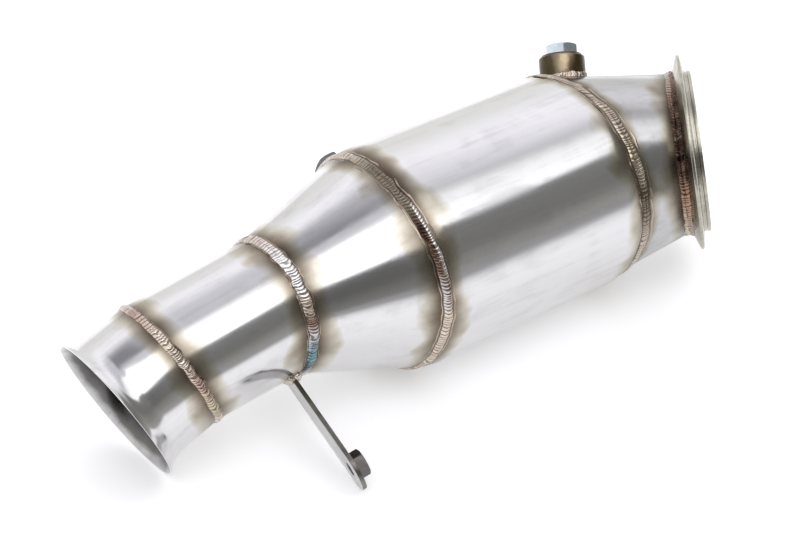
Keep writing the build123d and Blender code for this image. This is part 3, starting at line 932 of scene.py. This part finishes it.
def studio():
    """World with the room by direction: dark wall and softbox in front, pale wall behind, dim ceiling."""
    world = bpy.data.worlds.new("Studio")
    world.use_nodes = True
    tree = world.node_tree
    tree.nodes.clear()
    ray = wire(tree, "ShaderNodeLightPath")
    way = wire(tree, "ShaderNodeTexCoord", out="Generated")
    height = wire(tree, "ShaderNodeSeparateXYZ", {0: way}, "Z")
    level_way = vectors("NORMALIZE", vectors("MULTIPLY", way, (1.0, 1.0, 0.0)))

    def towards(direction):
        return vectors("DOT_PRODUCT", level_way, direction)

    behind = ramp(
        between(height, -0.1, 1.0),
        (0.0, (0.98, 0.98, 0.96)),
        (0.45, (1.1, 1.1, 1.1)),
        (0.8, (1.33, 1.32, 1.39)),
    )
    leftward = between(towards((-0.643, 0.766, 0.0)), 0.6, 1.0)
    ceiling = blended(leftward, (0.84, 0.84, 0.9), (0.32, 0.32, 0.35))
    behind = blended(between(height, 0.72, 0.93), behind, ceiling)
    # The softbox fades to the right, and its far edge is a straight line over the object
    rightward = towards((1.0, 0.0, 0.0))
    panel = ramp(
        rightward,
        (0.45, (2.1, 2.1, 2.18)),
        (0.74, (1.62, 1.62, 1.66)),
        (0.91, (1.34, 1.34, 1.37)),
        (0.99, (0.74, 0.74, 0.76)),
    )
    wall = ramp(height, (0.0, (0.42, 0.42, 0.4)), (0.3, (0.23, 0.23, 0.22)), (0.6, (0.26, 0.26, 0.26)))
    wall = blended(between(rightward, -0.2, 0.3, 0.45, 0.0), wall, (0.05, 0.05, 0.05))
    inside = between(vectors("DOT_PRODUCT", way, (-0.248, -0.969, 0.025)), -0.08, -0.02)
    inside = inside * between(height, 0.985, 0.96)
    # The softbox's near edge hangs lower where the can mirrors it
    sag = between(towards((0.342, -0.94, 0.0)), 0.9, 1.0, 0.0, 0.085)
    ahead = blended(between(height - sag, 0.585, 0.62), wall, blended(inside, ceiling, panel))
    room = blended(between(towards(CAMERA_SIDE), 0.0, 0.35), behind, ahead)
    light = blended(ray["Is Camera Ray"], room, WHITE)
    backdrop = wire(tree, "ShaderNodeBackground", {"Color": light, "Strength": 1.0}, 0)
    wire(tree, "ShaderNodeOutputWorld", {"Surface": backdrop})
    return world


def place_camera(scene):
    """Camera at the photograph's viewing angle."""
    eye = bpy.data.cameras.new("camera")
    eye.sensor_width = 36.0
    eye.lens = eye.sensor_width / 2 / tan(radians(19.278 / 2))
    eye.clip_end = 60.0
    camera = bpy.data.objects.new("camera", eye)
    scene.collection.objects.link(camera)
    bearing, fall, roll = radians(37.78), radians(34.649), radians(0.26)
    ahead = Vector((sin(bearing) * cos(fall), cos(bearing) * cos(fall), -sin(fall)))
    right = Vector((cos(bearing), -sin(bearing), 0.0))
    upward = Vector((sin(bearing) * sin(fall), cos(bearing) * sin(fall), cos(fall)))
    rolled_right = right * cos(roll) + upward * sin(roll)
    rolled_up = upward * cos(roll) - right * sin(roll)
    turned = Matrix((rolled_right, rolled_up, -ahead)).transposed().to_4x4()
    camera.matrix_world = Matrix.Translation((-0.8459, -0.8094, 0.7111)) @ turned
    scene.camera = camera


# Pieces


class DOWNPIPE_OT_finishes(bpy.types.Operator):
    """Make the shared node groups of the finishes"""

    bl_idname = "downpipe.finishes"
    bl_label = "Finishes"

    def execute(self, context):
        heat_tint_group()
        sheet_group()
        weld_group()
        return {"FINISHED"}


class DOWNPIPE_OT_walls(bpy.types.Operator):
    """Build the five walls of the gas path"""

    bl_idname = "downpipe.walls"
    bl_label = "Walls"

    def execute(self, context):
        settings = context.scene.downpipe
        path, looks = settings.path, settings.looks
        spots = stations(path, settings.flange)
        rim, outward = spots["rim"]
        outlet = spots["outlet"][0]
        small, straight = spots["cone_small"]
        can_outlet, can_inlet = spots["can_outlet"][0], spots["can_inlet"][0]
        inlet, inward = spots["inlet"]
        hinge = straight.cross(inward).normalized()
        # Inner faces of every wall: steel with painted shade that darkens with the depth behind the outlet
        # rim
        shaded_bore = sheet_steel("Sooted bore", looks, outward, rough=0.1, lip=(rim, outward))

        def clad(name, node, steel_name, wall, centre, axis, *seams, **other):
            inner_faces(wall, centre, axis)
            steel = sheet_steel(steel_name, looks, axis, seams, **other)
            put(name, wall, (steel, shaded_bore), node)

        outline = flare_line(path, 0.0) + flare_line(path, path.sheet)[::-1]
        wall = spun(outline, seat(rim, outward, HIDDEN_SIDE), TUBE_STEPS)
        soften(wall, 0.00035)
        clad("flare_wall", "outlet_flare", "Stub steel", wall, rim, outward, (outlet, outward, STUB_TINT))

        tube = path.tube_diameter / 2
        start, end = seat(outlet, outward, ACROSS), seat(small, straight, ACROSS)
        wall = ruled(start, tube, end, tube, path.sheet, TUBE_STEPS)
        clad(
            "pipe_wall", "outlet_pipe", "Pipe steel", wall, small, pitched(path.pipe_pitch),
            (outlet, outward, PIPE_TINTS[0]), (small, straight, PIPE_TINTS[1]),
        )

        start, end = end, seat(can_outlet, straight, ACROSS)
        wide = path.can_outlet_diameter / 2
        wall = ruled(start, tube, end, wide, path.sheet, TUBE_STEPS)
        clad(
            "cone_wall", "reducer_cone", "Cone steel", wall, small, straight,
            (small, straight, CONE_TINTS[0]), (can_outlet, straight, CONE_TINTS[1]),
        )

        outline = can_line(path, 0.0) + can_line(path, path.sheet)[::-1]
        wall = spun(outline, seat(can_outlet, straight, HIDDEN_SIDE), CAN_STEPS)
        clad(
            "can_wall", "converter_can", "Can steel", wall, can_outlet, straight,
            (can_outlet, straight, CAN_TINTS[0]), (can_inlet, straight, CAN_TINTS[1]),
        )

        start, end = seat(can_inlet, straight, hinge), seat(inlet, inward, hinge)
        wide, narrow = path.can_inlet_diameter / 2, path.inlet_diameter / 2
        wall = ruled(start, wide, end, narrow, path.sheet, CAN_STEPS)
        clad(
            "transition_wall", "inlet_transition", "Transition steel", wall, can_inlet,
            (inlet - can_inlet).normalized(),
            (can_inlet, straight, TRANSITION_TINTS[0]), (inlet, inward, TRANSITION_TINTS[1]),
            tone=0.71, rough=0.05,
        )
        return {"FINISHED"}


class DOWNPIPE_OT_flange(bpy.types.Operator):
    """Build the clamp flange"""

    bl_idname = "downpipe.flange"
    bl_label = "Clamp flange"

    def execute(self, context):
        settings = context.scene.downpipe
        size, path, looks = settings.flange, settings.path, settings.looks
        centre, inward = stations(path, size)["inlet"]
        bore = path.inlet_diameter / 2 - path.sheet
        lip = size.lip_diameter / 2
        groove_end = size.groove_start + size.groove_width
        outline = [
            (0.0, bore),
            (0.0, path.inlet_diameter / 2),
            (size.neck_length, size.neck_diameter / 2),
            (size.tip_start, size.diameter / 2),
            (size.tip_start + size.tip_width, size.diameter / 2),
            (size.face_start, size.face_diameter / 2),
            (size.face_start, lip),
            (size.groove_start, lip),
            (size.groove_start, lip - size.groove_depth),
            (groove_end, lip - size.groove_depth),
            (groove_end, lip),
            (size.reach, lip),
            (size.reach, bore),
        ]
        ring = spun(outline, seat(centre, inward, HIDDEN_SIDE), CAN_STEPS)
        soften(ring, 0.00022)
        steel = turned_metal("Turned steel", looks.turned, 0.2, (centre, inward), ring=0.0006)
        put("flange_ring", ring, steel, "inlet_flange")
        return {"FINISHED"}


class DOWNPIPE_OT_seams(bpy.types.Operator):
    """Lay the five weld beads round the seams"""

    bl_idname = "downpipe.seams"
    bl_label = "Seam welds"

    def execute(self, context):
        settings = context.scene.downpipe
        path, welds = settings.path, settings.welds
        spots = stations(path, settings.flange)
        diameters = {
            "outlet": path.tube_diameter,
            "cone_small": path.tube_diameter,
            "can_outlet": path.can_outlet_diameter,
            "can_inlet": path.can_inlet_diameter,
            "inlet": path.inlet_diameter,
        }
        for node, spot, sized, walls, seed, rope, washes, sway, lean, *stops in SEAMS:
            place = seat(*spots[spot], HIDDEN_SIDE)
            width, height = getattr(welds, sized + "_width"), getattr(welds, sized + "_height")
            trees = [tree_of(wall) for wall in walls]
            radius = diameters[spot] / 2
            crown = bead(place, radius, width, height, welds, trees, seed, rope, washes, sway, lean)
            metal = weld_metal(node + "_metal", *stops, rope=rope)
            put(node + "_bead", crown, metal, node, sharp=60.0)
        return {"FINISHED"}


class DOWNPIPE_OT_bosses(bpy.types.Operator):
    """Build the two sensor bosses with their welds, washers and plugs"""

    bl_idname = "downpipe.bosses"
    bl_label = "Sensor bosses"

    def execute(self, context):
        settings = context.scene.downpipe
        path, fittings, welds, looks = settings.path, settings.fittings, settings.welds, settings.looks
        places = boss_places(path, fittings, stations(path, settings.flange))
        walls = (tree_of("can_wall"), tree_of("transition_wall"))
        radius, height = fittings.boss_diameter / 2, fittings.boss_height
        thread, chamfer = fittings.thread_diameter / 2, fittings.boss_chamfer
        sunk, top = -0.00145, height + fittings.washer_thickness
        rim = fittings.washer_diameter / 2
        for name, place, turned_by, seed, plating_and_shade in (
            ("front", places[0], fittings.front_turn, 5.0, looks.zinc),
            # The rear plug's zinc is painted dark: painted shade on the plug on the far side
            ("rear", places[1], fittings.rear_turn, 8.0, screen(112, 114, 114)),
        ):
            axis = (place.translation, place.to_3x3() @ UPWARD)
            outline = [(sunk, thread), (sunk, radius), (height - chamfer, radius)]
            outline += [(height, radius - chamfer), (height, thread)]
            boss = spun(outline, place, SMALL_STEPS)
            soften(boss, 0.00015)
            # The boss's bands are painted highlight and shade across its sides
            steel = turned_metal(
                name + "_boss_steel", looks.bronze, 0.2, axis, ring=0.0005, mottled=0.4,
                sides=(BOSS_LIT_SIDE, BOSS_PAINTED_LIGHT),
            )
            put(name + "_boss_body", boss, steel, name + "_boss")

            crown = boss_bead(place, radius, welds.boss_height, welds.boss_reach, welds, walls, seed)
            metal = weld_metal(name + "_boss_bead_metal", "0 foot 0.5 foot_light 1 foot")
            put(name + "_boss_bead", crown, metal, name + "_boss_weld", sharp=60.0)

            washer = spun([(height, thread), (height, rim), (top, rim), (top, thread)], place, SMALL_STEPS)
            soften(washer, 0.0002)
            steel = turned_metal(name + "_washer_metal", screen(96, 84, 78), 0.3, axis)
            put(name + "_washer_ring", washer, steel, name + "_washer")

            head = place @ Matrix.Translation((0.0, 0.0, top))
            sizes = (fittings.plug_hex, fittings.plug_height, fittings.plug_chamfer, turned_by)
            plug = hexagon(head, *sizes, shank=thread - 0.00005)
            steel = turned_metal(name + "_plug_zinc", plating_and_shade, 0.22, axis)
            put(name + "_plug_head", plug, steel, name + "_plug", sharp=20.0)
        return {"FINISHED"}


class DOWNPIPE_OT_strip(bpy.types.Operator):
    """Build the support strip with its hole, its weld and its nut"""

    bl_idname = "downpipe.strip"
    bl_label = "Support strip"

    def execute(self, context):
        settings = context.scene.downpipe
        path, fittings, welds, looks = settings.path, settings.fittings, settings.welds, settings.looks
        small, straight = stations(path, settings.flange)["cone_small"]
        drop, yaw = fittings.strip_drop, fittings.strip_yaw
        run = Vector((-cos(drop) * sin(yaw), -cos(drop) * cos(yaw), -sin(drop)))
        flat = (straight - run * straight.dot(run)).normalized()
        normal = Matrix.Rotation(fittings.strip_twist, 3, run) @ flat
        spoke = Vector((0.0, -cos(fittings.strip_root_angle), -sin(fittings.strip_root_angle)))
        root = small - straight * fittings.strip_setback + spoke * (path.tube_diameter / 2)
        place = seat(root, normal, run)
        half, thick = fittings.strip_width / 2, fittings.strip_thickness
        hole_run = fittings.strip_length - fittings.strip_hole_setback

        # A rectangle, its root divided, whose far corners are rounded off into the half circle
        bar = bmesh.new()
        bmesh.ops.create_grid(bar, x_segments=1, y_segments=12, size=0.5)
        bmesh.ops.delete(bar, geom=list(bar.faces), context="FACES_ONLY")
        ends = [(edge, edge.verts[0].co.y, edge.verts[1].co.y) for edge in bar.edges]
        rungs = [edge for edge, low, high in ends if abs(low) < 0.499 and abs(low - high) < 1e-6]
        bmesh.ops.delete(bar, geom=rungs, context="EDGES")
        far = [vert for vert in bar.verts if vert.co.x > 0 and abs(vert.co.y) < 0.499]
        bmesh.ops.dissolve_verts(bar, verts=far)
        end = fittings.strip_length + half
        for vert in bar.verts:
            vert.co = ((vert.co.x + 0.5) * end, vert.co.y * 2 * half, -thick / 2)
        tips = [vert for vert in bar.verts if vert.co.x > end / 2]
        bevelled(bar, tips, half * 0.9999, 20, "VERTICES", False)
        hole_place = Matrix.Translation((hole_run, 0.0, -thick / 2))
        bmesh.ops.create_circle(bar, segments=64, radius=fittings.strip_hole / 2, matrix=hole_place)
        edges = list(bar.edges)
        bmesh.ops.triangle_fill(bar, use_beauty=True, use_dissolve=False, edges=edges, normal=UPWARD)
        made = bmesh.ops.extrude_face_region(bar, geom=list(bar.faces))["geom"]
        lifted = [part for part in made if isinstance(part, bmesh.types.BMVert)]
        bmesh.ops.translate(bar, vec=(0.0, 0.0, thick), verts=lifted)
        close_up(bar)
        bmesh.ops.transform(bar, matrix=place, verts=bar.verts)

        # Its root is laid on the walls
        walls = (tree_of("pipe_wall"), tree_of("cone_wall"))
        contacts = {1: [], -1: []}
        for vert in bar.verts:
            local = place.inverted() @ vert.co
            if local.x < 1e-5:
                hits = [tree.ray_cast(vert.co + run * 0.04, -run, 0.08)[0] for tree in walls]
                hit = max((spot for spot in hits if spot), key=lambda spot: (spot - root).dot(run))
                contacts[1 if local.z > 0 else -1].append(hit)
                vert.co = hit - run * 0.0006
        soften(bar, 0.0004, sharper=40.0)
        for face in bar.faces:
            face.material_index = 1 if abs(face.normal.dot(normal)) < 0.6 else 0
        cut = turned_metal("Cut edge", screen(128, 124, 118), 0.3, (root, run), mottled=0.9)
        steel = sheet_steel("Strip steel", looks, run, tone=0.8, waviness=0.00004, rough=0.12)
        put("strip_bar", bar, (steel, cut), "support_strip")

        # Two beads of overlapping dabs along the strip's root
        lumps = bmesh.new()
        ripple_layer = lumps.verts.layers.float.new("ripple")
        for side, spots in contacts.items():
            spots.sort(key=lambda spot: (spot - root).dot(normal.cross(run)))
            for index, spot in enumerate(spots):
                size = welds.strip_radius * (0.82 + 0.2 * wobble(index / 13, 3.0, side + 4.0))
                centre = spot + normal * side * 0.0006 + run * 0.0004
                shape = Matrix.Translation(centre)
                made = bmesh.ops.create_icosphere(lumps, subdivisions=4, radius=size, matrix=shape)["verts"]
                for vert in made:
                    vert.co += (vert.co - centre) * 0.16 * noise.noise(vert.co * 700)
                    # Painted shade: each dab is darker on its side that faces back towards the pipe
                    vert[ripple_layer] = 0.9 + 0.1 * (vert.co - centre).normalized().dot(run)
        sheet_map = lumps.loops.layers.uv.new("bead")
        for face in lumps.faces:
            for loop in face.loops:
                loop[sheet_map].uv = (0.5, 0.5)
        metal = weld_metal("strip_bead_metal", "0 strip 1 strip")
        put("strip_bead", lumps, metal, "strip_weld", sharp=70.0)

        nut_place = place @ Matrix.Translation((hole_run, 0.0, thick / 2))
        sizes = (fittings.nut_hex, fittings.nut_height, fittings.nut_chamfer, fittings.nut_turn)
        nut = hexagon(nut_place, *sizes, bore=fittings.nut_bore / 2)
        steel = turned_metal("Nut steel", looks.dark, 0.16, (nut_place.translation, normal))
        put("nut_body", nut, steel, "strip_nut", sharp=20.0)
        return {"FINISHED"}


class DOWNPIPE_OT_core(bpy.types.Operator):
    """Give the honeycomb core its foil"""

    bl_idname = "downpipe.core"
    bl_label = "Core"

    def execute(self, context):
        settings = context.scene.downpipe
        foil = turned_metal(
            "Honeycomb foil", settings.looks.foil, 0.4, stations(settings.path, settings.flange)["can_inlet"]
        )
        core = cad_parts["catalyst_core"]
        core.data.materials.clear()
        core.data.materials.append(foil)
        return {"FINISHED"}


class DOWNPIPE_OT_stage(bpy.types.Operator):
    """Lay the floor and set up the studio's light and the camera"""

    bl_idname = "downpipe.stage"
    bl_label = "Stage"

    def execute(self, context):
        scene = context.scene
        ground = bmesh.new()
        bmesh.ops.create_grid(ground, x_segments=1, y_segments=1, size=8.0)
        bmesh.ops.translate(ground, vec=(0.0, 0.0, cad_box[0].z - 0.0001), verts=ground.verts)
        mesh = bpy.data.meshes.new("floor")
        ground.to_mesh(mesh)
        ground.free()
        plane = bpy.data.objects.new("floor", mesh)
        scene.collection.objects.link(plane)
        mesh.materials.append(paper(scene.downpipe.looks))
        scene.world = studio()
        place_camera(scene)
        scene.view_settings.view_transform = "Standard"
        return {"FINISHED"}


class DOWNPIPE_PT_panel(bpy.types.Panel):
    """Downpipe's pieces in the sidebar"""

    bl_label = "Downpipe"
    bl_idname = "DOWNPIPE_PT_panel"
    bl_space_type = "VIEW_3D"
    bl_region_type = "UI"
    bl_category = "Downpipe"

    def draw(self, context):
        for operator in STEPS:
            self.layout.operator(operator.bl_idname)


STEPS = (
    DOWNPIPE_OT_finishes,
    DOWNPIPE_OT_walls,
    DOWNPIPE_OT_flange,
    DOWNPIPE_OT_seams,
    DOWNPIPE_OT_bosses,
    DOWNPIPE_OT_strip,
    DOWNPIPE_OT_core,
    DOWNPIPE_OT_stage,
)
CLASSES = (
    DOWNPIPE_PG_path,
    DOWNPIPE_PG_flange,
    DOWNPIPE_PG_welds,
    DOWNPIPE_PG_fittings,
    DOWNPIPE_PG_looks,
    DOWNPIPE_PG_settings,
    *STEPS,
    DOWNPIPE_PT_panel,
)


def register():
    """Registers the classes and the settings."""
    for item in CLASSES:
        bpy.utils.register_class(item)
    bpy.types.Scene.downpipe = bpy.props.PointerProperty(type=DOWNPIPE_PG_settings)


def unregister():
    """Takes the settings and the classes away again."""
    del bpy.types.Scene.downpipe
    for item in reversed(CLASSES):
        bpy.utils.unregister_class(item)


def main():
    """Builds every piece and the stage."""
    register()
    bpy.ops.downpipe.finishes()
    bpy.ops.downpipe.walls()
    bpy.ops.downpipe.flange()
    bpy.ops.downpipe.seams()
    bpy.ops.downpipe.bosses()
    bpy.ops.downpipe.strip()
    bpy.ops.downpipe.core()
    bpy.ops.downpipe.stage()


if __name__ == "__main__":
    main()
